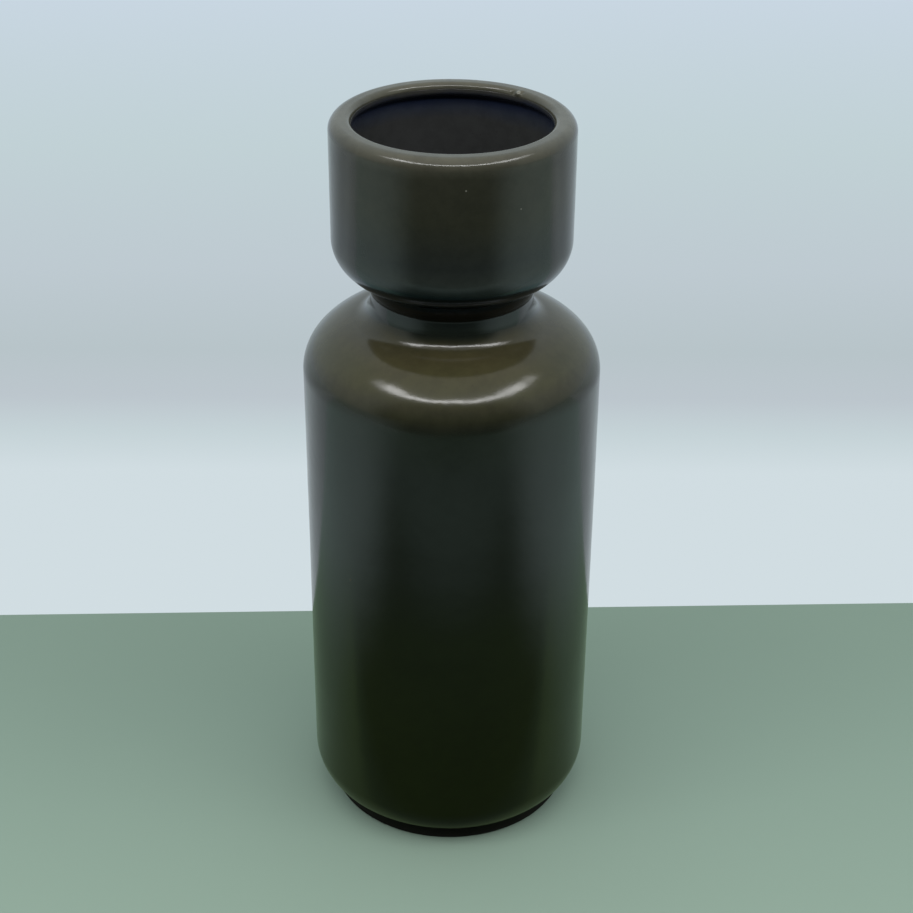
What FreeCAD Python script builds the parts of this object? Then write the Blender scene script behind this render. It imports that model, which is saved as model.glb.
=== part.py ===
import FreeCAD, Part
import math
import os

import Sketcher

# A stoneware bottle vase with a cylindrical body, a rounded shoulder, a short neck and a cup-shaped mouth
# whose lip turns inwards. It is built in sections that are luted together with slip, glazed outside and in,
# and it stands on a bare foot ring. Lengths are millimetres, +Z is up, and the origin is the centre of the
# circle on which the foot rests.

SIZES = {
    # Body: straight wall, rounded lower corner, and a shoulder of two arcs that share a tangent
    "body_diameter": 120.0,
    "wall_height": 185.2,
    "lower_corner_radius": 16.5,
    "shoulder_outer_radius": 19.5,
    "shoulder_top_radius": 30.0,
    "shoulder_turn_angle": 42.0,
    # Neck: a hollow curve rises from the shoulder into a short straight collar
    "neck_diameter": 65.0,
    "neck_hollow_radius": 8.5,
    "neck_length": 4.3,
    # Mouth cup: a stem that flares up from the neck, a full round underside, and a straight wall. Its inside
    # corner takes a share of the width between the neck's socket and the wall.
    "stem_flare": 3.0,
    "stem_height": 6.9,
    "cup_diameter": 94.8,
    "cup_underside_radius": 15.8,
    "cup_corner_share": 0.6,
    "cup_wall_height": 48.0,
    # Lip: it hangs over the inside of the cup, and its edges are rounded
    "lip_overhang": 3.4,
    "lip_outer_radius": 4.5,
    "lip_inner_radius": 2.3,
    "lip_nose_height": 1.1,
    "lip_under_radius": 1.8,
    # Clay, glaze and slip
    "clay_thickness": 4.5,
    "glaze_thickness": 0.5,
    "slip_thickness": 0.4,
    # Floor and foot
    "floor_thickness": 6.0,
    "floor_corner_radius": 11.5,
    "foot_height": 5.4,
    "foot_inset": 8.0,
    "foot_width": 7.0,
    "foot_edge_radius": 0.8,
    # Rebated joints: the neck's spigot inside the cup, and the cup's tongue inside the lip ring
    "spigot_wall": 2.2,
    "tongue_wall": 2.0,
    "tongue_height": 3.0,
    "lip_ring_height": 11.0,
}


class Size:
    """A number, and the formula over the sheet's cells that gives it."""

    def __init__(self, number, formula):
        self.number = number
        self.formula = formula

    def __add__(self, other):
        return Size(self.number + other.number, f"({self.formula} + {other.formula})")

    def __sub__(self, other):
        return Size(self.number - other.number, f"({self.formula} - {other.formula})")

    def __mul__(self, other):
        return Size(self.number * other.number, f"({self.formula} * {other.formula})")

    def __truediv__(self, other):
        return Size(self.number / other.number, f"({self.formula} / {other.formula})")


def root(size):
    return Size(math.sqrt(size.number), f"sqrt({size.formula})")


def cosine(angle):
    return Size(math.cos(math.radians(angle.number)), f"cos({angle.formula})")


def sine(angle):
    return Size(math.sin(math.radians(angle.number)), f"sin({angle.formula})")


def other_side(long_side, side):
    """The third side of a right triangle, from its longest side and one more."""
    return root(long_side * long_side - side * side)


document = FreeCAD.newDocument("bottle_vase")
sheet = document.addObject("Spreadsheet::Sheet", "Sizes")
for row, (name, number) in enumerate(SIZES.items(), start=1):
    sheet.set(f"A{row}", name)
    sheet.set(f"B{row}", str(number))
    sheet.setAlias(f"B{row}", name)
document.recompute()

cell = {name: Size(number, f"Sizes.{name}") for name, number in SIZES.items()}
zero = Size(0.0, "0")
two = Size(2.0, "2")

glaze = cell["glaze_thickness"]
slip = cell["slip_thickness"]
clay = cell["clay_thickness"]

# The vase's free outer surface, from the foot up. Every other surface is this one, set in by a thickness.
body_radius = cell["body_diameter"] / two
seat_height = cell["foot_height"]
foot_radius = body_radius - cell["foot_inset"]
corner_radius = cell["lower_corner_radius"]
corner_x = body_radius - corner_radius
corner_rise = other_side(corner_radius, corner_radius - cell["foot_inset"])
corner_z = seat_height + corner_rise
shoulder_z = corner_z + cell["wall_height"]

outer_arc = cell["shoulder_outer_radius"]
top_arc = cell["shoulder_top_radius"]
turn_x = cosine(cell["shoulder_turn_angle"])
turn_z = sine(cell["shoulder_turn_angle"])
outer_arc_x = body_radius - outer_arc
top_arc_x = outer_arc_x - (top_arc - outer_arc) * turn_x
top_arc_z = shoulder_z - (top_arc - outer_arc) * turn_z

neck_radius = cell["neck_diameter"] / two
hollow = cell["neck_hollow_radius"]
hollow_x = neck_radius + hollow
hollow_z = top_arc_z + other_side(top_arc + hollow, hollow_x - top_arc_x)
crease_z = hollow_z + cell["neck_length"]

cup_radius = cell["cup_diameter"] / two
underside = cell["cup_underside_radius"]
underside_x = cup_radius - underside
stem_radius = neck_radius + cell["stem_flare"]
underside_z = crease_z + cell["stem_height"] + other_side(underside, stem_radius - underside_x)
top_z = underside_z + cell["cup_wall_height"]

cup_inner_radius = cup_radius - glaze - clay - glaze
cup_floor_z = underside_z - underside + glaze + clay + glaze
throat_radius = neck_radius - glaze - clay
spigot_radius = throat_radius + cell["spigot_wall"]
socket_radius = spigot_radius + slip
cup_corner = (cup_inner_radius - socket_radius) * cell["cup_corner_share"]
cup_corner_x = cup_inner_radius - cup_corner
cup_corner_z = cup_floor_z + cup_corner
mouth_radius = cup_inner_radius - cell["lip_overhang"]
lip_outer = cell["lip_outer_radius"]
lip_inner = cell["lip_inner_radius"]
lip_under = cell["lip_under_radius"]
nose_top_z = top_z - lip_inner
nose_low_z = nose_top_z - cell["lip_nose_height"]
lip_under_z = nose_low_z - lip_under
lip_cove = cell["lip_overhang"] - lip_under
lip_cove_z = lip_under_z - lip_cove

# The inside, from the floor up
floor_z = seat_height + cell["floor_thickness"]
floor_corner = cell["floor_corner_radius"]
disc_radius = body_radius - glaze - clay - floor_corner
floor_corner_z = floor_z + floor_corner

# The lip's joint
lip_seam_z = top_z - cell["lip_ring_height"]
tongue_top_z = lip_seam_z + cell["tongue_height"]
cup_clay_inner = cup_inner_radius + glaze
tongue_radius = cup_clay_inner + cell["tongue_wall"]


def corner_end(inset):
    """Where the lower corner, set in by a thickness, meets the plane of the foot's seat."""
    return corner_x + other_side(corner_radius - inset, corner_rise), seat_height


def shoulder_turn(inset):
    """Where the shoulder's two arcs meet."""
    return outer_arc_x + (outer_arc - inset) * turn_x, shoulder_z + (outer_arc - inset) * turn_z


def hollow_start(inset):
    """Where the shoulder runs into the neck's hollow curve."""
    share = (top_arc - inset) / (top_arc + hollow)
    return top_arc_x + (hollow_x - top_arc_x) * share, top_arc_z + (hollow_z - top_arc_z) * share


def underside_height(inset, radius):
    """Height of the cup's round underside at a radius from the axis."""
    return underside_z - other_side(underside - inset, radius - underside_x)


def shell_path(inset):
    """The outside from the foot's seat to the crease: points, and the arcs that end at them."""
    return [
        (corner_end(inset), None),
        ((body_radius - inset, corner_z), (corner_x, corner_z, corner_radius - inset)),
        ((body_radius - inset, shoulder_z), None),
        (shoulder_turn(inset), (outer_arc_x, shoulder_z, outer_arc - inset)),
        (hollow_start(inset), (top_arc_x, top_arc_z, top_arc - inset)),
        ((neck_radius - inset, hollow_z), (hollow_x, hollow_z, hollow + inset)),
    ]


def cup_path(inset):
    """The outside of the cup from the crease, up its stem, and round to the foot of its straight wall."""
    start = stem_radius - inset
    return [
        ((neck_radius - inset, crease_z), None),
        ((start, underside_height(inset, start)), None),
        ((cup_radius - inset, underside_z), (underside_x, underside_z, underside - inset)),
    ]


def lip_path(inset):
    """Over the lip, from the cup's outer wall to the top of the nose inside."""
    edge_x = cup_radius - lip_outer
    edge_z = top_z - lip_outer
    return [
        ((cup_radius - inset, edge_z), None),
        ((edge_x, top_z - inset), (edge_x, edge_z, lip_outer - inset)),
        ((mouth_radius + lip_inner, top_z - inset), None),
        ((mouth_radius + inset, nose_top_z), (mouth_radius + lip_inner, nose_top_z, lip_inner - inset)),
    ]


def under_lip_path(cover):
    """Down the nose and round the cove under the lip to the cup's inner wall, below a cover of glaze."""
    under_x = mouth_radius + lip_under
    return [
        ((mouth_radius + cover, nose_top_z), None),
        ((mouth_radius + cover, nose_low_z), None),
        ((under_x, lip_under_z + cover), (under_x, nose_low_z, lip_under - cover)),
        ((cup_inner_radius + cover, lip_cove_z), (under_x, lip_cove_z, lip_cove + cover)),
    ]


def cup_inside_path(cover, end_radius):
    """Down the inside of the cup from its straight wall to a radius on its flat bottom."""
    return [
        ((cup_inner_radius + cover, cup_corner_z), None),
        ((cup_corner_x, cup_floor_z - cover), (cup_corner_x, cup_corner_z, cup_corner + cover)),
        ((end_radius, cup_floor_z - cover), None),
    ]


def body_inside_path(cover):
    """Down the inside of the body from the throat to the edge of the floor disc."""
    inset = glaze + clay + glaze - cover
    corner = floor_corner - glaze + cover
    return [
        ((neck_radius - inset, hollow_z), None),
        (hollow_start(inset), (hollow_x, hollow_z, hollow + inset)),
        (shoulder_turn(inset), (top_arc_x, top_arc_z, top_arc - inset)),
        ((body_radius - inset, shoulder_z), (outer_arc_x, shoulder_z, outer_arc - inset)),
        ((body_radius - inset, floor_corner_z), None),
        ((disc_radius, floor_z + glaze - cover), (disc_radius, floor_corner_z, corner)),
    ]


def backwards(path):
    """The same path, walked from its end to its start."""
    points = [point for point, arc in path][::-1]
    arcs = [None] + [arc for point, arc in path][:0:-1]
    return list(zip(points, arcs))


def point_at(x, z):
    return FreeCAD.Vector(x.number, z.number, 0)


def add_edge(sketch, start, end, arc, base):
    """Adds one edge of an outline and returns the positions in it of the outline's start and end."""
    first = point_at(start[0], start[1] - base)
    last = point_at(end[0], end[1] - base)
    if arc is None:
        sketch.addGeometry(Part.LineSegment(first, last), False)
        return 1, 2
    middle = point_at(arc[0], arc[1] - base)
    angles = [math.atan2(p.y - middle.y, p.x - middle.x) for p in (first, last)]
    anticlockwise = (angles[1] - angles[0]) % math.tau < math.pi
    if not anticlockwise:
        angles.reverse()
    circle = Part.Circle(middle, FreeCAD.Vector(0, 0, 1), arc[2].number)
    sketch.addGeometry(Part.ArcOfCircle(circle, angles[0], angles[1]), False)
    return (1, 2) if anticlockwise else (2, 1)


def bind(sketch, kind, references, size, name):
    """Adds a constraint whose value is a formula over the sheet."""
    index = sketch.addConstraint(Sketcher.Constraint(kind, *references, size.number))
    sketch.renameConstraint(index, name)
    sketch.setExpression(f"Constraints.{name}", size.formula)


def draw_outline(sketch, outline, base):
    """Draws a closed outline and fixes each corner's place and each arc's radius."""
    level_axis, upright_axis = -1, -2
    origin = (level_axis, 1)
    ends = []
    for index, (start, _) in enumerate(outline):
        end, arc = outline[(index + 1) % len(outline)]
        ends.append(add_edge(sketch, start, end, arc, base))
    for index, (start, _) in enumerate(outline):
        after = (index + 1) % len(outline)
        begins, stops = ends[index]
        arc = outline[after][1]
        sketch.addConstraint(Sketcher.Constraint("Coincident", index, stops, after, ends[after][0]))
        if start[0] is zero:
            sketch.addConstraint(Sketcher.Constraint("PointOnObject", index, begins, upright_axis))
        else:
            bind(sketch, "DistanceX", (*origin, index, begins), start[0], f"radius_{index}")
        if start[1] is base:
            sketch.addConstraint(Sketcher.Constraint("PointOnObject", index, begins, level_axis))
        else:
            bind(sketch, "DistanceY", (*origin, index, begins), start[1] - base, f"height_{index}")
        if arc is not None:
            bind(sketch, "Radius", (index,), arc[2], f"arc_{index}")


def turned_piece(label, base, outline):
    """A body of revolution whose own origin stands at the height of its base."""
    body = document.addObject("PartDesign::Body", label)
    body.Label = label
    body.Placement = FreeCAD.Placement(FreeCAD.Vector(0, 0, base.number), FreeCAD.Rotation())
    body.setExpression("Placement.Base.z", base.formula)
    sketch = body.newObject("Sketcher::SketchObject", f"{label}_outline")
    plane = next(plane for plane in body.Origin.OriginFeatures if plane.Role == "XZ_Plane")
    sketch.AttachmentSupport = [(plane, "")]
    sketch.MapMode = "FlatFace"
    draw_outline(sketch, outline, base)
    document.recompute()
    turned = body.newObject("PartDesign::Revolution", f"{label}_turned")
    turned.Profile = sketch
    turned.ReferenceAxis = (sketch, ["V_Axis"])
    turned.Angle = 360.0
    sketch.Visibility = False
    body.Tip = turned
    return body


def rectangle(inner, outer, low, high):
    """A ring's upright section between two radii and two heights."""
    corners = ((inner, low), (outer, low), (outer, high), (inner, high))
    return [(corner, None) for corner in corners]


def foot_ring():
    """The bare ring that the vase stands on, rounded where it meets the table."""
    inner = foot_radius - cell["foot_width"]
    edge = cell["foot_edge_radius"]
    top = seat_height - slip
    return turned_piece("foot_ring", zero, [
        ((inner + edge, zero), (inner + edge, edge, edge)),
        ((foot_radius - edge, zero), None),
        ((foot_radius, edge), (foot_radius - edge, edge, edge)),
        ((foot_radius, top), None),
        ((inner, top), None),
        ((inner, edge), None),
    ])


def foot_joint_slip():
    """Slip between the foot ring and the body's underside."""
    inner = foot_radius - cell["foot_width"]
    base = seat_height - slip
    return turned_piece("foot_joint_slip", base, rectangle(inner, foot_radius, base, seat_height))


def base_disc():
    """The floor slab, let into the body's open bottom."""
    return turned_piece("base_disc", seat_height, rectangle(zero, disc_radius - slip, seat_height, floor_z))


def base_joint_slip():
    """Slip round the edge of the floor slab."""
    section = rectangle(disc_radius - slip, disc_radius, seat_height, floor_z)
    return turned_piece("base_joint_slip", seat_height, section)


def bottle_body():
    """The wall, shoulder and neck, open below, with a spigot that stands up inside the cup."""
    seat = crease_z - slip
    spigot_top = cup_floor_z - glaze
    outline = [((disc_radius, seat_height), None)]
    outline += shell_path(glaze)
    outline += [
        ((neck_radius - glaze, seat), None),
        ((spigot_radius, seat), None),
        ((spigot_radius, spigot_top), None),
        ((throat_radius, spigot_top), None),
    ]
    outline += body_inside_path(glaze)
    return turned_piece("bottle_body", seat_height, outline)


def neck_joint_slip():
    """Slip on the neck's seat and round its spigot, under and inside the cup."""
    base = crease_z - slip
    top = cup_floor_z - glaze
    return turned_piece("neck_joint_slip", base, [
        ((spigot_radius, base), None),
        ((neck_radius - glaze, base), None),
        ((neck_radius - glaze, crease_z), None),
        ((socket_radius, crease_z), None),
        ((socket_radius, top), None),
        ((spigot_radius, top), None),
    ])


def mouth_cup():
    """The cup, with a socket for the neck's spigot below and a tongue for the lip ring on top."""
    base = crease_z
    outline = cup_path(glaze)
    outline += [
        ((cup_radius - glaze, lip_seam_z), None),
        ((tongue_radius, lip_seam_z), None),
        ((tongue_radius, tongue_top_z), None),
        ((cup_clay_inner, tongue_top_z), None),
    ]
    outline += cup_inside_path(glaze, socket_radius)
    outline += [((socket_radius, base), None)]
    return turned_piece("mouth_cup", base, outline)


def lip_joint_slip():
    """Slip on the cup's rim and over its tongue, under the lip ring."""
    return turned_piece("lip_joint_slip", lip_seam_z, [
        ((tongue_radius, lip_seam_z), None),
        ((cup_radius - glaze, lip_seam_z), None),
        ((cup_radius - glaze, lip_seam_z + slip), None),
        ((tongue_radius + slip, lip_seam_z + slip), None),
        ((tongue_radius + slip, tongue_top_z + slip), None),
        ((cup_clay_inner, tongue_top_z + slip), None),
        ((cup_clay_inner, tongue_top_z), None),
        ((tongue_radius, tongue_top_z), None),
    ])


def lip_ring():
    """The coil that forms the inturned lip, seated on the cup's wall."""
    base = lip_seam_z + slip
    step = tongue_top_z + slip
    groove = tongue_radius + slip
    outline = [((groove, base), None), ((cup_radius - glaze, base), None)]
    outline += lip_path(glaze)
    outline += under_lip_path(glaze)[1:]
    outline += [((cup_clay_inner, step), None), ((groove, step), None)]
    return turned_piece("lip_ring", base, outline)


def outer_glaze():
    """The coat over the outside, from the foot's seat to the nose of the lip."""
    outline = shell_path(zero) + cup_path(zero) + lip_path(zero)
    outline += backwards(shell_path(glaze) + cup_path(glaze) + lip_path(glaze))
    return turned_piece("outer_glaze", seat_height, outline)


def inner_glaze():
    """The lining, from the nose of the lip to the middle of the floor."""
    throat_free = throat_radius - glaze
    covered = under_lip_path(zero) + cup_inside_path(zero, throat_free) + body_inside_path(zero)
    bonded = under_lip_path(glaze) + cup_inside_path(glaze, throat_radius) + body_inside_path(glaze)
    outline = covered + [((zero, floor_z + glaze), None), ((zero, floor_z), None)] + backwards(bonded)
    return turned_piece("inner_glaze", floor_z, outline)


MAKERS = (foot_ring, foot_joint_slip, base_disc, base_joint_slip, bottle_body, neck_joint_slip, mouth_cup,
          lip_joint_slip, lip_ring, outer_glaze, inner_glaze)

pieces = [make() for make in MAKERS]
document.recompute()

for item in document.Objects:
    if {"Invalid", "Error"} & set(item.State):
        raise RuntimeError(f"{item.Label} did not recompute")
for piece in pieces:
    if piece.Shape.isNull() or not piece.Shape.isValid() or len(piece.Shape.Solids) != 1:
        raise RuntimeError(f"{piece.Label} is not one sound solid")

os.makedirs("parts", exist_ok=True)
for piece in pieces:
    piece.Shape.exportStep(f"parts/{piece.Label}.step")
    bounds = piece.Shape.optimalBoundingBox()
    print(piece.Label, "volume", round(piece.Shape.Volume), "radius", round(bounds.XMax, 2),
          "from", round(bounds.ZMin, 2), "to", round(bounds.ZMax, 2))
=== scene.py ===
import math

import bpy
from mathutils import Matrix, Vector


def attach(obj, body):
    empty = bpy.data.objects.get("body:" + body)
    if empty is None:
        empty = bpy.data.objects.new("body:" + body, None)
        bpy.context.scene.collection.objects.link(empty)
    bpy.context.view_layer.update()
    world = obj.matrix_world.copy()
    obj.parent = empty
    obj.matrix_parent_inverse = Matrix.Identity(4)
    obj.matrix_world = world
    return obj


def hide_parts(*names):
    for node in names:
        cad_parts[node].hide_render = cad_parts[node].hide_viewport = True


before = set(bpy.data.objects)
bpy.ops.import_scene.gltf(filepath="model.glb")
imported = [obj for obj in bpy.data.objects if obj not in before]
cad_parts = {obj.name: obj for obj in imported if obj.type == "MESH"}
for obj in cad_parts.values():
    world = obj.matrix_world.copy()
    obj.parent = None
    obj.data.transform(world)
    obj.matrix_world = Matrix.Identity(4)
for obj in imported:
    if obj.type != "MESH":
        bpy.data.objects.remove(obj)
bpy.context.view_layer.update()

# A dark olive stoneware bottle vase. The clay sections and the slip between them are the frame's own solids.
# The two glaze coats and the bare foot ring are lathed here, finer than in the frame and with the small
# unevenness of a thrown and glazed pot. Profiles are drawn in millimetres as (radius, height).

MM = 0.001

# The vase's sizes, the same as the solids' own
BODY_RADIUS = 60.0
WALL_HEIGHT = 185.2
LOWER_CORNER = 16.5
SHOULDER_OUTER = 19.5
SHOULDER_TOP = 30.0
SHOULDER_TURN = 42.0
NECK_RADIUS = 32.5
NECK_HOLLOW = 8.5
NECK_LENGTH = 4.3
STEM_FLARE = 3.0
STEM_HEIGHT = 6.9
CUP_RADIUS = 47.4
CUP_UNDERSIDE = 15.8
CUP_CORNER_SHARE = 0.6
CUP_WALL = 48.0
LIP_OVERHANG = 3.4
LIP_OUTER = 4.5
LIP_INNER = 2.3
LIP_NOSE = 1.1
LIP_UNDER = 1.8
CLAY = 4.5
GLAZE = 0.5
FLOOR = 6.0
FLOOR_CORNER = 11.5
FOOT_HEIGHT = 5.4
FOOT_INSET = 8.0
FOOT_WIDTH = 7.0
FOOT_EDGE = 0.8
SLIP = 0.4
SPIGOT_WALL = 2.2

# Derived places
WALL = GLAZE + CLAY + GLAZE
CORNER_X = BODY_RADIUS - LOWER_CORNER
CORNER_RISE = math.sqrt(LOWER_CORNER ** 2 - (LOWER_CORNER - FOOT_INSET) ** 2)
CORNER_Z = FOOT_HEIGHT + CORNER_RISE
SHOULDER_Z = CORNER_Z + WALL_HEIGHT
OUTER_X = BODY_RADIUS - SHOULDER_OUTER
TOP_X = OUTER_X - (SHOULDER_TOP - SHOULDER_OUTER) * math.cos(math.radians(SHOULDER_TURN))
TOP_Z = SHOULDER_Z - (SHOULDER_TOP - SHOULDER_OUTER) * math.sin(math.radians(SHOULDER_TURN))
HOLLOW_X = NECK_RADIUS + NECK_HOLLOW
HOLLOW_Z = TOP_Z + math.sqrt((SHOULDER_TOP + NECK_HOLLOW) ** 2 - (HOLLOW_X - TOP_X) ** 2)
HOLLOW_TURN = math.degrees(math.atan2(HOLLOW_Z - TOP_Z, HOLLOW_X - TOP_X))
CREASE_Z = HOLLOW_Z + NECK_LENGTH
UNDER_X = CUP_RADIUS - CUP_UNDERSIDE
STEM_RADIUS = NECK_RADIUS + STEM_FLARE
UNDER_Z = CREASE_Z + STEM_HEIGHT + math.sqrt(CUP_UNDERSIDE ** 2 - (STEM_RADIUS - UNDER_X) ** 2)
RIM_Z = UNDER_Z + CUP_WALL
CUP_INNER = CUP_RADIUS - WALL
CUP_FLOOR = UNDER_Z - CUP_UNDERSIDE + WALL
SOCKET = NECK_RADIUS - GLAZE - CLAY + SPIGOT_WALL + SLIP
CUP_INSIDE_CORNER = (CUP_INNER - SOCKET) * CUP_CORNER_SHARE
CUP_CORNER_X = CUP_INNER - CUP_INSIDE_CORNER
CUP_CORNER_Z = CUP_FLOOR + CUP_INSIDE_CORNER
MOUTH = CUP_INNER - LIP_OVERHANG
NOSE_TOP = RIM_Z - LIP_INNER
NOSE_LOW = NOSE_TOP - LIP_NOSE
COVE = LIP_OVERHANG - LIP_UNDER
COVE_Z = NOSE_LOW - LIP_UNDER - COVE
FLOOR_Z = FOOT_HEIGHT + FLOOR
DISC = BODY_RADIUS - GLAZE - CLAY - FLOOR_CORNER
THROAT = NECK_RADIUS - WALL
FOOT_RADIUS = BODY_RADIUS - FOOT_INSET


# Lathe

# Columns round the axis, and how far apart the points of each profile are. The side that is bonded to the
# clay is coarser than the side that shows.
COLUMNS = 576
OUTSIDE_STEP = 1.0
OUTSIDE_BONDED_STEP = 2.4
INSIDE_STEP = 1.2
INSIDE_BONDED_STEP = 2.6
FOOT_STEP = 0.4
FOOT_EDGE_STEP = 0.15
FOOT_SOLE_STEP = 0.6

# Half the height of the glaze that pools in the crease of the neck, and the rows that its curve takes
POOLED = 0.9
POOL_ROWS = 4

# The bow of a hand-thrown pot to its right: how far, from which height and over what height. All unevenness
# fades out towards the axis and towards the free edge of a glaze coat.
BOW = 0.25
BOW_START = 45.0
BOW_SPAN = 200.0
AXIS_FADE = 20.0
EDGE_FADE = 6.0

# Anything shorter than this counts as nothing.
TINY = 1e-9


def line(start, end, step):
    """Points from start to just before end, about a step apart."""
    count = max(1, math.ceil(math.dist(start, end) / step))
    run, rise = end[0] - start[0], end[1] - start[1]
    return [(start[0] + run * i / count, start[1] + rise * i / count) for i in range(count)]


def arc(x, z, radius, start, end, step):
    """Points on an arc, by angles in degrees, from its start to just before its end."""
    count = max(4, math.ceil(abs(math.radians(end - start)) * radius / step))
    angles = [math.radians(start + (end - start) * i / count) for i in range(count)]
    return [(x + radius * math.cos(a), z + radius * math.sin(a)) for a in angles]


def under_angle(inset, radius):
    """Direction, from the centre of the cup's round underside, of its surface at a radius from the axis."""
    return -math.degrees(math.acos((radius - UNDER_X) / (CUP_UNDERSIDE - inset)))


def outside(inset, step, pooled):
    """The outside from the foot's seat to the nose of the lip. Glaze pools in the crease of the neck."""
    corner = math.degrees(math.asin(-CORNER_RISE / (LOWER_CORNER - inset)))
    neck = NECK_RADIUS - inset
    stem = STEM_RADIUS - inset
    stem_angle = under_angle(inset, stem)
    stem_z = UNDER_Z + (CUP_UNDERSIDE - inset) * math.sin(math.radians(stem_angle))
    lean = pooled * (stem - neck) / (stem_z - CREASE_Z)
    path = arc(CORNER_X, CORNER_Z, LOWER_CORNER - inset, corner, 0, step / 2)
    path += line((BODY_RADIUS - inset, CORNER_Z), (BODY_RADIUS - inset, SHOULDER_Z), step * 2)
    path += arc(OUTER_X, SHOULDER_Z, SHOULDER_OUTER - inset, 0, SHOULDER_TURN, step)
    path += arc(TOP_X, TOP_Z, SHOULDER_TOP - inset, SHOULDER_TURN, HOLLOW_TURN, step)
    path += arc(HOLLOW_X, HOLLOW_Z, NECK_HOLLOW + inset, HOLLOW_TURN - 180, -180, step / 2)
    path += line((neck, HOLLOW_Z), (neck, CREASE_Z - pooled), step / 2)
    if pooled:
        for i in range(POOL_ROWS):
            share = i / POOL_ROWS
            path.append((neck + share * share * lean, CREASE_Z - pooled + 2 * share * pooled))
    path += line((neck + lean, CREASE_Z + pooled), (stem, stem_z), step / 2)
    path += arc(UNDER_X, UNDER_Z, CUP_UNDERSIDE - inset, stem_angle, 0, step)
    path += line((CUP_RADIUS - inset, UNDER_Z), (CUP_RADIUS - inset, RIM_Z - LIP_OUTER), step * 2)
    lip_x = CUP_RADIUS - LIP_OUTER
    path += arc(lip_x, RIM_Z - LIP_OUTER, LIP_OUTER - inset, 0, 90, step / 5)
    path += line((lip_x, RIM_Z - inset), (MOUTH + LIP_INNER, RIM_Z - inset), step / 2)
    path += arc(MOUTH + LIP_INNER, NOSE_TOP, LIP_INNER - inset, 90, 180, step / 5)
    return path + [(MOUTH + inset, NOSE_TOP)]


def inside(cover, step):
    """The inside from the nose of the lip to the middle of the floor, under a cover of glaze."""
    inset = WALL - cover
    throat = THROAT + cover
    path = line((MOUTH + cover, NOSE_TOP), (MOUTH + cover, NOSE_LOW), step / 4)
    path += arc(MOUTH + LIP_UNDER, NOSE_LOW, LIP_UNDER - cover, 180, 270, step / 5)
    path += arc(MOUTH + LIP_UNDER, COVE_Z, COVE + cover, 90, 0, step / 4)
    path += line((CUP_INNER + cover, COVE_Z), (CUP_INNER + cover, CUP_CORNER_Z), step * 2)
    path += arc(CUP_CORNER_X, CUP_CORNER_Z, CUP_INSIDE_CORNER + cover, 0, -90, step / 2)
    path += line((CUP_CORNER_X, CUP_FLOOR - cover), (throat, CUP_FLOOR - cover), step)
    path += line((throat, CUP_FLOOR - cover), (throat, HOLLOW_Z), step)
    path += arc(HOLLOW_X, HOLLOW_Z, NECK_HOLLOW + inset, -180, HOLLOW_TURN - 180, step)
    path += arc(TOP_X, TOP_Z, SHOULDER_TOP - inset, HOLLOW_TURN, SHOULDER_TURN, step)
    path += arc(OUTER_X, SHOULDER_Z, SHOULDER_OUTER - inset, SHOULDER_TURN, 0, step)
    path += line((BODY_RADIUS - inset, SHOULDER_Z), (BODY_RADIUS - inset, FLOOR_Z + FLOOR_CORNER), step * 4)
    path += arc(DISC, FLOOR_Z + FLOOR_CORNER, FLOOR_CORNER - GLAZE + cover, 0, -90, step)
    path += line((DISC, FLOOR_Z + GLAZE - cover), (0, FLOOR_Z + GLAZE - cover), step * 4)
    return path + [(0, FLOOR_Z + GLAZE - cover)]


def uneven(radius, height, turn):
    """How far the glaze stands proud of the true profile at a point of the surface, in millimetres."""
    rings = 0.012 * math.sin(height / 2.9 + 0.7 * math.sin(turn + 0.4))
    rings += 0.01 * math.sin(height / 7.3 + 2 * math.sin(turn))
    slow = 0.05 * math.sin(2 * turn + 1.1 + height / 95) + 0.035 * math.sin(3 * turn - height / 47 + 0.6)
    sag = 0.03 * math.sin(5 * turn + height / 31) * math.sin(height / 23)
    bow = BOW * math.cos(turn) * math.sin(math.pi * min(1.0, max(0.0, (height - BOW_START) / BOW_SPAN)))
    return (rings + slow + sag + bow) * min(1.0, radius / AXIS_FADE)


# A small fired-in bump with a pit on each side, on the far inner edge of the lip. Each row is a turn, radius,
# height, size and rise.
BLEMISHES = (
    (math.radians(48.9), 38.95, 308.9, 1.0, 0.75),
    (math.radians(52.6), 38.7, 308.4, 0.9, -0.35),
    (math.radians(46.6), 39.6, 309.4, 0.8, -0.30),
)


def blemish(radius, height, turn):
    """How far the bump and its pits move a point of the lip, in millimetres."""
    rise = 0.0
    for at_turn, at_radius, at_height, size, amount in BLEMISHES:
        apart = (turn - at_turn + math.pi) % math.tau - math.pi
        far = math.dist((apart * at_radius, radius, height), (0, at_radius, at_height))
        rise += amount * math.exp(-(far / size) ** 2)
    return rise


def outer_rise(radius, height, turn):
    """The olive glaze's unevenness and its blemish."""
    fade = min(1.0, (height - FOOT_HEIGHT) / EDGE_FADE)
    return uneven(radius, height, turn) * fade + blemish(radius, height, turn)


def inner_rise(radius, height, turn):
    """The lining's unevenness, which follows the outside."""
    return -uneven(radius, height, turn) * min(1.0, max(0.0, (NOSE_TOP - height) / EDGE_FADE))


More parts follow.
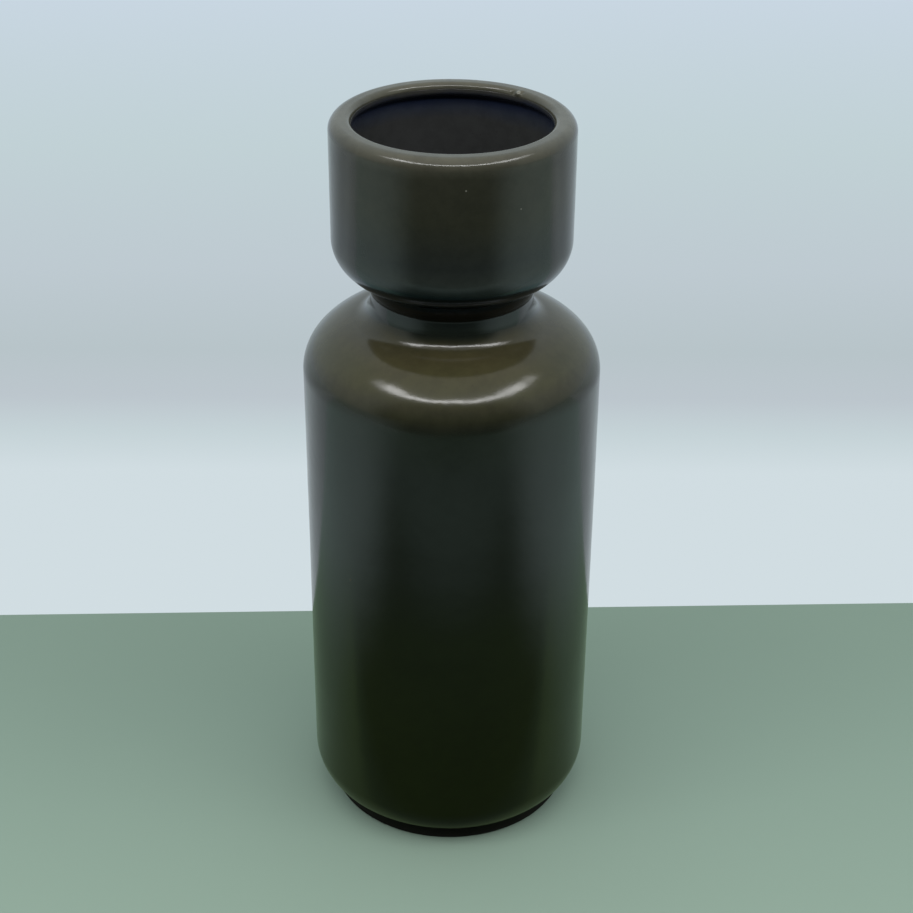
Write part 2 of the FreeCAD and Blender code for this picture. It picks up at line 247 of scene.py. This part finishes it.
def foot_path():
    """The foot ring's free faces: down its bore, round its sole's two edges, and up outside."""
    bore = FOOT_RADIUS - FOOT_WIDTH
    seat = FOOT_HEIGHT - SLIP
    path = line((bore, seat), (bore, FOOT_EDGE), FOOT_STEP)
    path += arc(bore + FOOT_EDGE, FOOT_EDGE, FOOT_EDGE, 180, 270, FOOT_EDGE_STEP)
    path += line((bore + FOOT_EDGE, 0), (FOOT_RADIUS - FOOT_EDGE, 0), FOOT_SOLE_STEP)
    path += arc(FOOT_RADIUS - FOOT_EDGE, FOOT_EDGE, FOOT_EDGE, 270, 360, FOOT_EDGE_STEP)
    path += line((FOOT_RADIUS, FOOT_EDGE), (FOOT_RADIUS, seat), FOOT_STEP)
    return path + [(FOOT_RADIUS, seat)]


def faces_between(below, above):
    """The faces between two rows of vertices, as triangles where a row is one point on the axis."""
    faces = []
    for c in range(COLUMNS):
        d = (c + 1) % COLUMNS
        if below[c] == below[d]:
            faces.append([below[c], above[d], above[c]])
        elif above[c] == above[d]:
            faces.append([below[c], below[d], above[c]])
        else:
            faces.append([below[c], below[d], above[d], above[c]])
    return faces


def lathe(name, free, bonded, surface=None):
    """A closed skin between a free path, which surface() shifts, and a bonded path that walks back."""
    path = free + bonded[::-1]
    on_axis = [i for i, (x, z) in enumerate(path) if x < TINY]
    vertices, rows = [], []
    for i, (x, z) in enumerate(path):
        if i in on_axis:
            rows.append([len(vertices)] * COLUMNS)
            vertices.append((0.0, 0.0, z * MM))
            continue
        before = path[max(i - 1, 0)] if i < len(free) else path[i]
        after = path[min(i + 1, len(free) - 1)] if i < len(free) else path[i]
        along = Vector((after[0] - before[0], after[1] - before[1]))
        normal = Vector((along.y, -along.x)).normalized() if along.length > TINY else Vector((0, 0))
        rows.append(range(len(vertices), len(vertices) + COLUMNS))
        for c in range(COLUMNS):
            turn = math.tau * c / COLUMNS
            rise = surface(x, z, turn) if surface and i < len(free) else 0.0
            r, h = x + normal.x * rise, z + normal.y * rise
            vertices.append((r * math.cos(turn) * MM, r * math.sin(turn) * MM, h * MM))
    faces = []
    for i in range(len(path)):
        beyond = (i + 1) % len(path)
        if i not in on_axis or beyond not in on_axis:
            faces += faces_between(rows[i], rows[beyond])
    mesh = bpy.data.meshes.new(name)
    mesh.from_pydata(vertices, [], faces)
    mesh.polygons.foreach_set("use_smooth", [True] * len(faces))
    mesh.update()
    piece = bpy.data.objects.new(name, mesh)
    bpy.context.scene.collection.objects.link(piece)
    return piece


# Materials

# The glaze. Scales of noise are per metre, and depths of bump are in metres.
CLOUDS, MOTTLE, FINE, DRIFT, IRON, PEEL = 16, 210, 1500, 30, 620, 260
CLOUD_RANGE = (0.35, 0.68)
MOTTLE_RANGE = (0.38, 0.66)
CLOUD_SHARE = 0.6
DRIFT_RISE = 0.006
PEEL_DEPTH = 0.00006
FINE_DEPTH = 0.000012
THIN_GLAZE = 1.18
THICK_GLAZE = 0.84
IRON_DOT = (0.08, 0.20)
IRON_RARITY = 0.86
IRON_SHARE = 0.3
SPECK_CORE_SHARE = 0.6
SHINE_DRIFT = 0.03

# The clay
CLAY_MOTTLE = 45
CLAY_RANGE = (0.3, 0.7)
GROG_RANGE = (0.56, 0.68)
GROG_SHARE = 0.5
GROG_SHADE = 0.45
CLAY_DRIFT = 0.1
TOOTH_SCALE = 1.6
TOOTH_DEPTH = 0.00012
TURNING_LINES = 9000.0
LINE_DEPTH = 0.00001
CLAY_IOR = 1.45


def node(tree, kind, inputs=None, **settings):
    """Adds a node; an input is a number, a colour, or another node's output."""
    made = tree.nodes.new(kind)
    for key, value in settings.items():
        setattr(made, key, value)
    for key, value in (inputs or {}).items():
        if isinstance(value, bpy.types.NodeSocket):
            tree.links.new(value, made.inputs[key])
        else:
            made.inputs[key].default_value = value
    return made


def material(name):
    """A new material, its empty node tree, and the place on the object in metres."""
    made = bpy.data.materials.new(name)
    made.use_nodes = True
    tree = made.node_tree
    tree.nodes.clear()
    place = node(tree, "ShaderNodeTexCoord").outputs["Object"]
    return made, tree, place


def colour(r, g, b):
    """A linear colour."""
    return (r, g, b, 1.0)


WHITE = colour(1.0, 1.0, 1.0)
BLACK = colour(0.0, 0.0, 0.0)
IRON_TINT = colour(0.008, 0.006, 0.004)


def noise(tree, place, scale, detail=3.0, rough=0.55, warp=0.0):
    return node(tree, "ShaderNodeTexNoise", {
        "Vector": place, "Scale": scale, "Detail": detail, "Roughness": rough, "Distortion": warp,
    }).outputs["Fac"]


def ranged(tree, value, low, high, to_low=0.0, to_high=1.0, smooth=True):
    return node(tree, "ShaderNodeMapRange", {
        "Value": value, "From Min": low, "From Max": high, "To Min": to_low, "To Max": to_high,
    }, interpolation_type="SMOOTHSTEP" if smooth else "LINEAR", clamp=True).outputs["Result"]


def mixed(tree, share, first, second):
    """A mix of two colours. The mix node's colour sockets share their names, so they go by number."""
    return node(tree, "ShaderNodeMix", {0: share, 6: first, 7: second}, data_type="RGBA").outputs[2]


def maths(tree, operation, *values):
    return node(tree, "ShaderNodeMath", dict(enumerate(values)), operation=operation).outputs[0]


def scaled(tree, tint, factor):
    made = node(tree, "ShaderNodeVectorMath", {0: tint, "Scale": factor}, operation="SCALE")
    return made.outputs["Vector"]


def bump(tree, height, distance, strength=1.0, normal=None):
    inputs = {"Height": height, "Distance": distance, "Strength": strength}
    if normal is not None:
        inputs["Normal"] = normal
    return node(tree, "ShaderNodeBump", inputs).outputs["Normal"]


def parts_of(tree, place):
    """The outputs X, Y and Z of a place."""
    return node(tree, "ShaderNodeSeparateXYZ", {"Vector": place}).outputs


def banded(tree, value, bands, low, high, unit=1.0):
    """A colour from bands of (level, tint), between a low and a high level. The unit is the levels' own."""
    share = ranged(tree, value, low * unit, high * unit, smooth=False)
    ramp = node(tree, "ShaderNodeValToRGB", {"Fac": share})
    stops = ramp.color_ramp.elements
    for i, (level, tint) in enumerate(bands):
        position = (level - low) / (high - low)
        stop = stops[i] if i < 2 else stops.new(position)
        stop.position = position
        stop.color = tint
    return ramp.outputs["Color"]


def finish_material(made, tree, base, roughness, normal, ior, shine_tint=WHITE):
    shader = node(tree, "ShaderNodeBsdfPrincipled", {
        "Base Color": base, "Roughness": roughness, "Normal": normal, "IOR": ior,
        "Specular Tint": shine_tint,
    })
    node(tree, "ShaderNodeOutputMaterial", {"Surface": shader.outputs[0]})
    return made


def iron_specks(tree, place):
    """How much iron shows at a place: small round dots in a few of the cells."""
    iron = node(tree, "ShaderNodeTexVoronoi", {"Vector": place, "Scale": IRON, "Randomness": 1.0})
    dot = ranged(tree, iron.outputs["Distance"], *IRON_DOT, 1.0, 0.0)
    cell = node(tree, "ShaderNodeSeparateColor", {"Color": iron.outputs["Color"]}).outputs[0]
    chosen = maths(tree, "GREATER_THAN", cell, IRON_RARITY)
    return maths(tree, "MULTIPLY", maths(tree, "MULTIPLY", dot, chosen), IRON_SHARE)


def wavering(tree, level, share):
    """A level that moves up and down a little with a share of 0 to 1."""
    offset = maths(tree, "SUBTRACT", share, 0.5)
    return maths(tree, "ADD", level, maths(tree, "MULTIPLY", offset, SHINE_DRIFT))


def glaze_material(name, bands, roughness, ior, specks=(), shade_band=None):
    """
    A satin glaze: its colour by height, which carries painted light and shade, cloudy and mottled, with iron
    specks, orange peel, and given spots: dusty specks, rust and a painted highlight. Between two heights its
    reflections are tinted darker and bluer, a painted shade in the crease under the cup.
    """
    made, tree, place = material(name)
    clouds = ranged(tree, noise(tree, place, CLOUDS, 4, 0.6, 0.4), *CLOUD_RANGE)
    mottle = ranged(tree, noise(tree, place, MOTTLE, 4, 0.65), *MOTTLE_RANGE)
    cloud_part = maths(tree, "MULTIPLY", clouds, CLOUD_SHARE)
    mottle_part = maths(tree, "MULTIPLY", mottle, 1 - CLOUD_SHARE)
    share = maths(tree, "ADD", cloud_part, mottle_part)
    drift = maths(tree, "SUBTRACT", noise(tree, place, DRIFT, 3, 0.6), 0.5)
    level = maths(tree, "ADD", parts_of(tree, place)["Z"], maths(tree, "MULTIPLY", drift, DRIFT_RISE))
    # Colour by height from the bands, which carry painted light and shade
    tint = banded(tree, level, bands, 0.0, RIM_Z, MM)
    base = mixed(tree, share, scaled(tree, tint, THIN_GLAZE), scaled(tree, tint, THICK_GLAZE))
    base = mixed(tree, iron_specks(tree, place), base, IRON_TINT)
    # Given spots: dusty specks, rust, and a painted highlight on the lip's bump
    for place_mm, size, dust_rust_and_sheen in specks:
        gap = node(tree, "ShaderNodeVectorMath", {
            0: place, 1: Vector(place_mm) * MM,
        }, operation="DISTANCE").outputs["Value"]
        spot = ranged(tree, gap, size * MM * SPECK_CORE_SHARE, size * MM, 1.0, 0.0)
        base = mixed(tree, spot, base, dust_rust_and_sheen)
    shine = wavering(tree, wavering(tree, roughness, clouds), mottle)
    peel = bump(tree, noise(tree, place, PEEL, 2, 0.5), PEEL_DEPTH, 0.5)
    normal = bump(tree, noise(tree, place, FINE, 2, 0.5), FINE_DEPTH, 0.5, peel)
    shine_tint = WHITE
    # Between two heights the reflections are tinted darker and bluer: painted shade in the crease under the
    # cup
    if shade_band:
        low, high, fade, shade_tint = shade_band
        starts = ranged(tree, level, low * MM, (low + fade) * MM)
        ends = ranged(tree, level, (high - fade) * MM, high * MM, 1.0, 0.0)
        shine_tint = mixed(tree, maths(tree, "MULTIPLY", starts, ends), WHITE, shade_tint)
    return finish_material(made, tree, base, shine, normal, ior, shine_tint)


def clay_material(name, pale, dark, roughness, grain):
    """Bare fired clay: fine grain, darker grog, and turning lines round the axis."""
    made, tree, place = material(name)
    body = ranged(tree, noise(tree, place, CLAY_MOTTLE, 5, 0.65), *CLAY_RANGE)
    grog = ranged(tree, noise(tree, place, grain, 3, 0.7), *GROG_RANGE)
    grog_tint = colour(*(GROG_SHADE * value for value in dark[:3]))
    base = mixed(tree, body, pale, dark)
    base = mixed(tree, maths(tree, "MULTIPLY", grog, GROG_SHARE), base, grog_tint)
    lines = maths(tree, "SINE", maths(tree, "MULTIPLY", parts_of(tree, place)["Z"], TURNING_LINES))
    rough = maths(tree, "ADD", roughness, maths(tree, "MULTIPLY", body, CLAY_DRIFT))
    normal = bump(tree, noise(tree, place, grain * TOOTH_SCALE, 3, 0.6), TOOTH_DEPTH, 0.7)
    normal = bump(tree, lines, LINE_DEPTH, 0.6, normal)
    return finish_material(made, tree, base, rough, normal, CLAY_IOR)


# Dust and one rusty pinhole on the outside, and a pale spot on the lip's bump that is a painted highlight.
# Each row is a place, a size and a tint.
DUST_AND_SHEEN = colour(0.20, 0.20, 0.17)
RUST = colour(0.11, 0.075, 0.04)
OUTSIDE_SPECKS = (
    ((4.9, -47.1, 298.6), 0.42, DUST_AND_SHEEN),
    ((25.0, -40.2, 289.0), 0.36, DUST_AND_SHEEN),
    ((-40.5, -44.3, 129.4), 0.50, RUST),
    # A painted highlight on the bump at the far inner edge of the lip
    ((25.6, 29.3, 309.3), 1.1, DUST_AND_SHEEN),
)

# The glazes' colours by height, which carry painted light and shade. Outside: greener below about 110 mm and
# greyer above, a painted reflection of the floor; lighter and olive on the shoulder from about 207 to 230 mm,
# painted light where it faces up and round its highlight; near-black from about 235 to 254 mm, painted shade
# in the crease under the cup; lighter and bluer round 258 to 262 mm, a painted reflection on the cup's lower
# curve; and palest at the lip. Inside: a blue-black band below the lip, painted shade.
OLIVE_AND_PAINTED_LIGHT_BANDS = (
    # Greener below 110 mm and greyer from 140 mm: a painted reflection of the floor
    (0.0, colour(0.009, 0.0155, 0.003)),
    (50.0, colour(0.009, 0.0155, 0.003)),
    (110.0, colour(0.009, 0.0145, 0.005)),
    (140.0, colour(0.010, 0.0135, 0.010)),
    (185.0, colour(0.009, 0.012, 0.009)),
    (204.7, colour(0.010, 0.014, 0.008)),
    # Lighter on the shoulder: painted light where it faces up and round its highlight
    (207.7, colour(0.015, 0.016, 0.010)),
    (211.4, colour(0.029, 0.030, 0.017)),
    (214.3, colour(0.040, 0.039, 0.024)),
    (218.0, colour(0.049, 0.048, 0.025)),
    (222.0, colour(0.047, 0.045, 0.021)),
    (227.0, colour(0.049, 0.043, 0.021)),
    (230.0, colour(0.036, 0.034, 0.018)),
    (233.0, colour(0.0125, 0.016, 0.012)),
    # Darker to near-black from here to 254 mm: painted shade in the crease under the cup
    (235.5, colour(0.007, 0.010, 0.0075)),
    (239.5, colour(0.002, 0.004, 0.006)),
    (244.0, colour(0.0005, 0.002, 0.004)),
    (254.0, colour(0.0005, 0.002, 0.005)),
    # Lighter and bluer on the cup's lower curve: a painted reflection
    (257.5, colour(0.012, 0.019, 0.021)),
    (262.0, colour(0.024, 0.029, 0.026)),
    (268.0, colour(0.016, 0.019, 0.018)),
    (285.0, colour(0.028, 0.029, 0.019)),
    (303.0, colour(0.032, 0.032, 0.022)),
    (309.8, colour(0.078, 0.076, 0.058)),
)
LINING_AND_PAINTED_SHADE_BANDS = (
    (0.0, colour(0.041, 0.0425, 0.043)),
    (294.0, colour(0.041, 0.0425, 0.043)),
    # Blue-black from here to 304.5 mm, below the lip inside: painted shade
    (299.0, colour(0.030, 0.036, 0.052)),
    (302.0, colour(0.012, 0.018, 0.042)),
    (304.5, colour(0.012, 0.018, 0.042)),
    (307.0, colour(0.041, 0.041, 0.037)),
)

# The crease under the cup: from and up to which height, over what height it fades, and the tint of its shine,
# which makes the reflections there darker and bluer as painted shade
CREASE_SHADE = (243.0, 257.5, 2.0, colour(0.32, 0.66, 0.95))

olive = glaze_material("olive_glaze", OLIVE_AND_PAINTED_LIGHT_BANDS, 0.155, 1.46, OUTSIDE_SPECKS, CREASE_SHADE)
lining = glaze_material("liner_glaze", LINING_AND_PAINTED_SHADE_BANDS, 0.24, 1.47)
stoneware = clay_material("stoneware", colour(0.34, 0.27, 0.20), colour(0.26, 0.20, 0.145), 0.82, 900)
# The foot's near-black is partly dark bare clay and partly painted shade where it hides under the body
bare_foot = clay_material(
    "bare_foot_clay", colour(0.003, 0.0025, 0.0025), colour(0.002, 0.002, 0.002), 0.85, 800)
fired_slip = clay_material("fired_slip", colour(0.31, 0.25, 0.19), colour(0.24, 0.19, 0.14), 0.85, 1300)

# Pieces

outer = lathe(
    "glaze_outside", outside(0, OUTSIDE_STEP, POOLED), outside(GLAZE, OUTSIDE_BONDED_STEP, 0), outer_rise)
inner = lathe("glaze_inside", inside(0, INSIDE_STEP), inside(GLAZE, INSIDE_BONDED_STEP), inner_rise)
foot = lathe("foot_turned", foot_path(), [])

for piece, made, replaced, slot in (
    (outer, olive, "outer_glaze", "outer_glaze"),
    (inner, lining, "inner_glaze", "inner_glaze"),
    (foot, bare_foot, "foot_ring", "bare_foot_clay"),
):
    piece.data.materials.append(made)
    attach(piece, "root")
    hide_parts(replaced)

for name, made in (
    ("base_disc", stoneware), ("bottle_body", stoneware), ("mouth_cup", stoneware), ("lip_ring", stoneware),
    ("foot_joint_slip", fired_slip), ("base_joint_slip", fired_slip),
    ("neck_joint_slip", fired_slip), ("lip_joint_slip", fired_slip),
    ("foot_ring", bare_foot), ("outer_glaze", olive), ("inner_glaze", lining),
):
    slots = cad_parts[name].data.materials
    if len(slots):
        for i in range(len(slots)):
            slots[i] = made
    else:
        slots.append(made)

# Floor

# Metres from here on. The near floor ends in a straight edge behind the vase, and the pale floor goes on.
EDGE_Y = 0.1229
EDGE_SLOPE = 0.0334
WIDE = 4.0
DEEP = 6.0

# The near floor's tints in front and at its edge, the depths between which one gives way to the other, its
# clouds and tooth, and what a reflection sees of it by depth
SAGE_FRONT = colour(0.286, 0.392, 0.328)
SAGE_BACK = colour(0.242, 0.340, 0.284)
SAGE_MOTTLE = colour(0.20, 0.29, 0.25)
SAGE_TURN = (-0.15, 0.10)
SAGE_CLOUDS = 7
SAGE_CLOUD_RANGE = (0.3, 0.7)
SAGE_CLOUD_SHARE = 0.05
PAPER_TOOTH = 1100
PAPER_DEPTH = 0.0001
PAPER_ROUGHNESS = 0.75
PAPER_IOR = 1.4
# These bands are painted reflections: what the vase mirrors of the near floor, unlike the floor itself
SAGE_BANDS = (
    (-0.60, colour(0.22, 0.22, 0.22)),
    (-0.43, colour(0.35, 0.35, 0.35)),
    (-0.37, colour(0.85, 0.83, 0.88)),
    (-0.30, colour(0.75, 0.73, 0.78)),
    (-0.22, colour(0.25, 0.25, 0.20)),
    (-0.08, colour(0.20, 0.20, 0.12)),
    (-0.062, colour(0.35, 0.38, 0.30)),
    (-0.05, colour(0.75, 0.80, 0.50)),
    (0.0, colour(0.88, 0.93, 0.78)),
)

# Beside the vase a reflection sees the near floor lighter. That starts and is full at these sines of the
# direction, and at these distances.
ASIDE_SINES = (0.50, 0.97)
ASIDE_DISTANCES = (0.13, 0.30)
# A painted reflection, lighter beside the vase
ASIDE_TINT = colour(2.15, 1.95, 2.3)

# How much of the near floor's bounced light is left out
BOUNCE_DIMMING = 0.75

# The pale floor's tints by depth, darker in the middle as painted shade, and how much darker a reflection
# sees it beside the edge
PALE_DEPTH = 1.5
PALE_BANDS = (
    (0.10, colour(0.640, 0.725, 0.762)),
    (0.265, colour(0.635, 0.720, 0.757)),
    (0.31, colour(0.560, 0.650, 0.680)),
    (0.355, colour(0.505, 0.565, 0.610)),
    (0.42, colour(0.478, 0.552, 0.584)),
    (0.55, colour(0.515, 0.590, 0.636)),
    (0.80, colour(0.535, 0.638, 0.670)),
    (1.25, colour(0.580, 0.675, 0.760)),
)
EDGE_DIMMING = 0.12
EDGE_REACH = 0.20


def plane(name, corners, surface):
    """A flat part of the floor with its material."""
    mesh = bpy.data.meshes.new(name)
    mesh.from_pydata(corners, [], [range(len(corners))])
    mesh.update()
    mesh.materials.append(surface)
    made = bpy.data.objects.new(name, mesh)
    bpy.context.scene.collection.objects.link(made)


def sage_material():
    """Matt green paper with a fine tooth."""
    made, tree, place = material("sage_floor")
    parts = parts_of(tree, place)
    rays = node(tree, "ShaderNodeLightPath").outputs
    base = mixed(tree, ranged(tree, parts["Y"], *SAGE_TURN), SAGE_FRONT, SAGE_BACK)
    clouds = ranged(tree, noise(tree, place, SAGE_CLOUDS, 3, 0.6), *SAGE_CLOUD_RANGE)
    base = mixed(tree, maths(tree, "MULTIPLY", clouds, SAGE_CLOUD_SHARE), base, SAGE_MOTTLE)
    ahead = banded(tree, parts["Y"], SAGE_BANDS, SAGE_BANDS[0][0], 0.0)
    away = node(tree, "ShaderNodeVectorMath", {0: place}, operation="LENGTH").outputs["Value"]
    across = maths(tree, "ABSOLUTE", parts["X"])
    aside = ranged(tree, maths(tree, "DIVIDE", across, away), *ASIDE_SINES)
    aside = maths(tree, "MULTIPLY", aside, ranged(tree, across, *ASIDE_DISTANCES))
    mirrored = node(tree, "ShaderNodeVectorMath", {
        0: base, 1: mixed(tree, aside, ahead, ASIDE_TINT),
    }, operation="MULTIPLY").outputs["Vector"]
    # Reflections see the painted bands and tint; other rays see the floor's own colour
    base = mixed(tree, rays["Is Glossy Ray"], base, mirrored)
    base = mixed(tree, maths(tree, "MULTIPLY", rays["Is Diffuse Ray"], BOUNCE_DIMMING), base, BLACK)
    tooth = bump(tree, noise(tree, place, PAPER_TOOTH, 3, 0.6), PAPER_DEPTH, 0.35)
    return finish_material(made, tree, base, PAPER_ROUGHNESS, tooth, PAPER_IOR)


def pale_material():
    """A pale floor out of focus, which looks evenly lit to the camera and to reflections."""
    made, tree, place = material("pale_floor")
    depth = parts_of(tree, place)["Y"]
    rays = node(tree, "ShaderNodeLightPath").outputs
    # Tints by depth, darker in the middle as painted shade
    tint = banded(tree, depth, PALE_BANDS, 0.0, PALE_DEPTH)
    diffuse = node(tree, "ShaderNodeBsdfDiffuse", {"Color": tint})
    near_edge = ranged(tree, maths(tree, "SUBTRACT", depth, EDGE_Y), 0.0, EDGE_REACH, EDGE_DIMMING, 0.0)
    dimmed = maths(tree, "MULTIPLY", rays["Is Glossy Ray"], near_edge)
    glow = node(tree, "ShaderNodeEmission", {
        "Color": tint, "Strength": maths(tree, "SUBTRACT", 1.0, dimmed),
    })
    shown = maths(tree, "MAXIMUM", rays["Is Camera Ray"], rays["Is Glossy Ray"])
    shown = maths(tree, "MAXIMUM", shown, rays["Is Transmission Ray"])
    blend = node(tree, "ShaderNodeMixShader", {0: shown, 1: diffuse.outputs[0], 2: glow.outputs[0]})
    node(tree, "ShaderNodeOutputMaterial", {"Surface": blend.outputs[0]})
    return made


edge_left = (-WIDE, EDGE_Y - EDGE_SLOPE * WIDE, 0)
edge_right = (WIDE, EDGE_Y + EDGE_SLOPE * WIDE, 0)
plane("floor_near", [(-WIDE, -WIDE, 0), (WIDE, -WIDE, 0), edge_right, edge_left], sage_material())
plane("floor_far", [edge_left, edge_right, (WIDE, DEEP, 0), (-WIDE, DEEP, 0)], pale_material())

# Light

# The room's tints, and the parts of its directions' Y and Z over which they give way to each other
SKY_BACK = colour(0.60, 0.69, 0.74)
SKY_SIDES = colour(0.60, 0.63, 0.56)
SKY_FRONT = colour(0.02, 0.025, 0.025)
SKY_TOP = colour(0.80, 0.80, 0.74)
BACK_RANGE = (-0.1, 0.55)
FRONT_RANGE = (-0.75, -0.35)
TOP_RANGE = (0.70, 0.92)

# Soft boxes round a point at the front of the shoulder. Each row is a name, azimuth, elevation, width, height
# and radiance. Azimuth 0 is in front and + is to the right, and all angles are in degrees.
AIM = Vector((0.0, -0.045, 0.22))
LAMP_DISTANCE = 1.0
LAMPS = (
    ("strip_middle", 0, 51.5, 20, 4.0, 17.5),
    ("strip_left", -33.5, 50.5, 22, 4.0, 16.0),
    ("strip_right", 33.5, 50.5, 22, 4.0, 16.0),
    ("box_left", -63, 51.5, 15, 8.5, 10.5),
    ("box_right", 66.5, 51.0, 19, 8.5, 9.8),
    ("fade_left", -81, 49.5, 8, 8.0, 3.2),
    ("fade_right", 90, 49.5, 11, 8.0, 3.6),
)


def studio_world():
    """A pale room, dark in front where the photographer stands, and brightest above."""
    world = bpy.data.worlds.new("studio")
    bpy.context.scene.world = world
    world.use_nodes = True
    tree = world.node_tree
    tree.nodes.clear()
    toward = parts_of(tree, node(tree, "ShaderNodeTexCoord").outputs["Generated"])
    rays = node(tree, "ShaderNodeLightPath").outputs
    sky = mixed(tree, ranged(tree, toward["Y"], *BACK_RANGE), SKY_SIDES, SKY_BACK)
    sky = mixed(tree, ranged(tree, toward["Y"], *FRONT_RANGE, 1.0, 0.0), sky, SKY_FRONT)
    sky = mixed(tree, ranged(tree, toward["Z"], *TOP_RANGE), sky, SKY_TOP)
    sky = mixed(tree, rays["Is Camera Ray"], sky, SKY_BACK)
    glow = node(tree, "ShaderNodeBackground", {"Color": sky, "Strength": 1.0})
    node(tree, "ShaderNodeOutputWorld", {"Surface": glow.outputs[0]})


def lamp_span(degrees):
    """The width of a lamp that spans an angle as the aimed point sees it."""
    return 2 * LAMP_DISTANCE * math.tan(math.radians(degrees / 2))


def lamp(name, azimuth, elevation, width, height, radiance):
    """A soft box that no camera ray sees."""
    a, e = math.radians(azimuth), math.radians(elevation)
    away = Vector((math.sin(a) * math.cos(e), -math.cos(a) * math.cos(e), math.sin(e)))
    data = bpy.data.lights.new(name, "AREA")
    data.shape = "RECTANGLE"
    data.size = lamp_span(width)
    data.size_y = lamp_span(height)
    data.energy = radiance * math.pi * data.size * data.size_y
    made = bpy.data.objects.new(name, data)
    made.location = AIM + away * LAMP_DISTANCE
    made.rotation_euler = away.to_track_quat("Z", "Y").to_euler()
    made.visible_camera = False
    bpy.context.scene.collection.objects.link(made)


studio_world()
for settings in LAMPS:
    lamp(*settings)

# Camera

# The photograph's camera: its picture's side and focal length in pixels, and its place and turns
PIXELS = 913
FOCAL_PIXELS = 1846.87
SENSOR = 36.0
EYE = Vector((0.0, -0.66723, 0.54565))
PITCH, YAW, ROLL = math.radians(29.906), math.radians(0.205), math.radians(0.4526)
CLIP_START = 0.01
CLIP_END = 50.0

forward = Vector((math.sin(YAW) * math.cos(PITCH), math.cos(YAW) * math.cos(PITCH), -math.sin(PITCH)))
level_right = forward.cross(Vector((0, 0, 1))).normalized()
level_up = level_right.cross(forward)
right = level_right * math.cos(ROLL) + level_up * math.sin(ROLL)
up = level_up * math.cos(ROLL) - level_right * math.sin(ROLL)
data = bpy.data.cameras.new("camera")
data.sensor_width = SENSOR
data.lens = data.sensor_width * FOCAL_PIXELS / PIXELS
data.clip_start = CLIP_START
data.clip_end = CLIP_END
camera = bpy.data.objects.new("camera", data)
camera.matrix_world = Matrix.Translation(EYE) @ Matrix((right, up, -forward)).transposed().to_4x4()
bpy.context.scene.collection.objects.link(camera)
bpy.context.scene.camera = camera
bpy.context.scene.view_settings.view_transform = "Standard"
